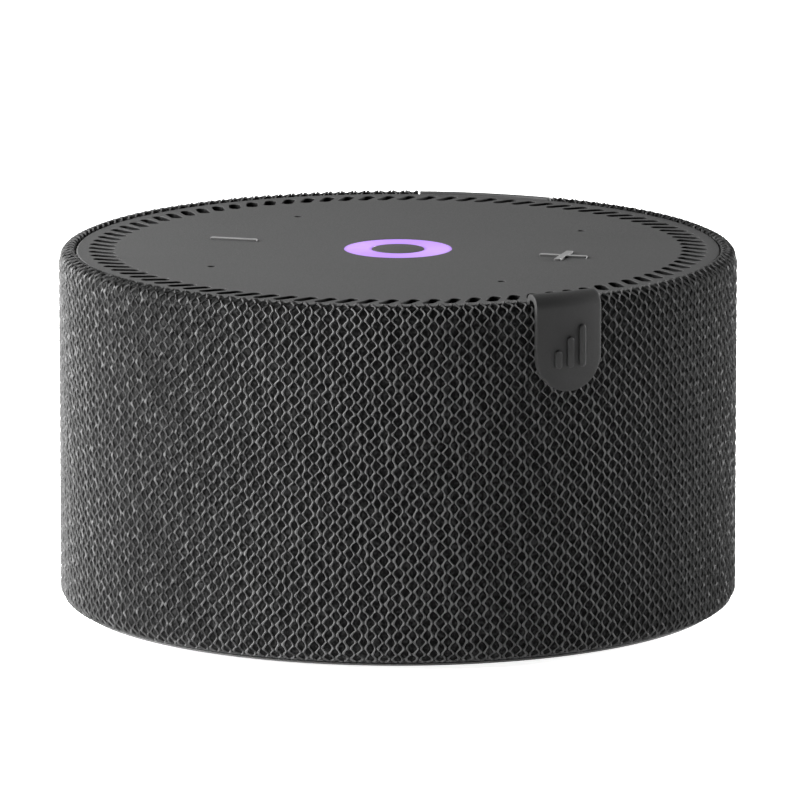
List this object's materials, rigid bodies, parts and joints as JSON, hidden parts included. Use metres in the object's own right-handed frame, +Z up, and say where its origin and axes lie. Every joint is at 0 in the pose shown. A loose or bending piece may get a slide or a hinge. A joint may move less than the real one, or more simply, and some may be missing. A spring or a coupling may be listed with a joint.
{
  "type": "smart home hub",
  "caption": "Round voice-controlled home hub: fabric drum, flat touch plate with a ring of slots and a lit ring, speaker inside, port panel at the back.",
  "frame": {"origin": "centre of the face it rests on: the middle of the rubber foot ring's underside", "axes": "+Z up through the middle of the drum and its lit ring, -Y towards the front, +Y out of the port panel, +X towards the plus mark"},
  "size_m": [0.098, 0.098, 0.0532],
  "materials": {
    "fabric": "dark spacer mesh with a light grey outer net of knitted threads",
    "structural": "moulded, fine texture",
    "tag_rubber": "soft touch, very fine grain",
    "plate": "satin with a fine spark texture",
    "lens": "translucent, lit violet from below",
    "white_plastic": "gloss",
    "board": "solder mask over glass laminate",
    "rubber": "matt",
    "foam": "conductive foam",
    "steel": "bright",
    "black_steel": "satin black",
    "ferrite": "sintered, matt",
    "copper": "enamelled winding",
    "spider_cloth": "resin-stiffened cloth",
    "cone_paper": "pressed pulp",
    "base_plastic": "fine spark texture",
    "screw_steel": "black zinc",
    "flex": "amber polyimide",
    "panel_plastic": "satin",
    "port_steel": "drawn shell",
    "black_plastic": "moulded",
    "slider_plastic": "satin, ribbed knob"
  },
  "bodies": {
    "housing": {"fabric_sleeve": "fabric", "grille_frame": "structural", "tag": "tag_rubber", "top_plate": "plate", "ring_lens": "lens", "ring_cap": "plate", "light_baffle": "white_plastic", "top_board": "board", "mic_gasket_1": "rubber", "mic_gasket_2": "rubber", "mic_gasket_3": "rubber", "mic_gasket_4": "rubber", "microphone_1": "steel", "microphone_2": "steel", "microphone_3": "steel", "microphone_4": "steel", "ring_led_1": "white_plastic", "ring_led_2": "white_plastic", "ring_led_3": "white_plastic", "ring_led_4": "white_plastic", "touch_pad_minus": "foam", "touch_pad_plus": "foam", "board_screw_1": "steel", "board_screw_2": "steel", "board_screw_3": "steel", "sound_diffuser": "structural", "enclosure_body": "structural", "enclosure_floor": "structural", "driver_basket": "black_steel", "driver_washer": "steel", "driver_magnet": "ferrite", "driver_yoke": "steel", "driver_spider": "spider_cloth", "driver_surround": "rubber", "radiator_surround_left": "rubber", "radiator_frame_left": "structural", "radiator_surround_right": "rubber", "radiator_frame_right": "structural", "base_plate": "base_plastic", "foot_ring": "rubber", "base_screw_1": "screw_steel", "base_screw_2": "screw_steel", "base_screw_3": "screw_steel", "base_screw_4": "screw_steel", "main_board": "board", "shield_can": "steel", "antenna": "board", "flex_cable": "flex", "rear_panel": "panel_plastic", "port_board": "board", "usb_shell": "port_steel", "usb_tongue": "black_plastic", "audio_jack": "black_plastic", "mute_switch": "steel"},
    "speaker_cone": {"voice_coil": "copper", "driver_cone": "cone_paper", "dust_cap": "cone_paper"},
    "radiator_left": {"radiator_disc_left": "steel"},
    "radiator_right": {"radiator_disc_right": "steel"},
    "mute_slider": {"mute_slider": "slider_plastic"}
  },
  "joints": [
    {"name": "mute_slide", "type": "slide", "parent": "housing", "child": "mute_slider", "axis": [-1, 0, 0], "range_m": [0, 0.002]},
    {"name": "cone_travel", "type": "slide", "parent": "housing", "child": "speaker_cone", "axis": [0, 0, 1], "range_m": [-0.0015, 0.0015], "stiffness_N_per_m": 1200, "deforming": ["driver_spider", "driver_surround"]},
    {"name": "radiator_left_travel", "type": "slide", "parent": "housing", "child": "radiator_left", "axis": [-1, 0, 0], "range_m": [-0.0015, 0.0015], "stiffness_N_per_m": 800, "deforming": ["radiator_surround_left"]},
    {"name": "radiator_right_travel", "type": "slide", "parent": "housing", "child": "radiator_right", "axis": [1, 0, 0], "range_m": [-0.0015, 0.0015], "stiffness_N_per_m": 800, "deforming": ["radiator_surround_right"]}
  ]
}
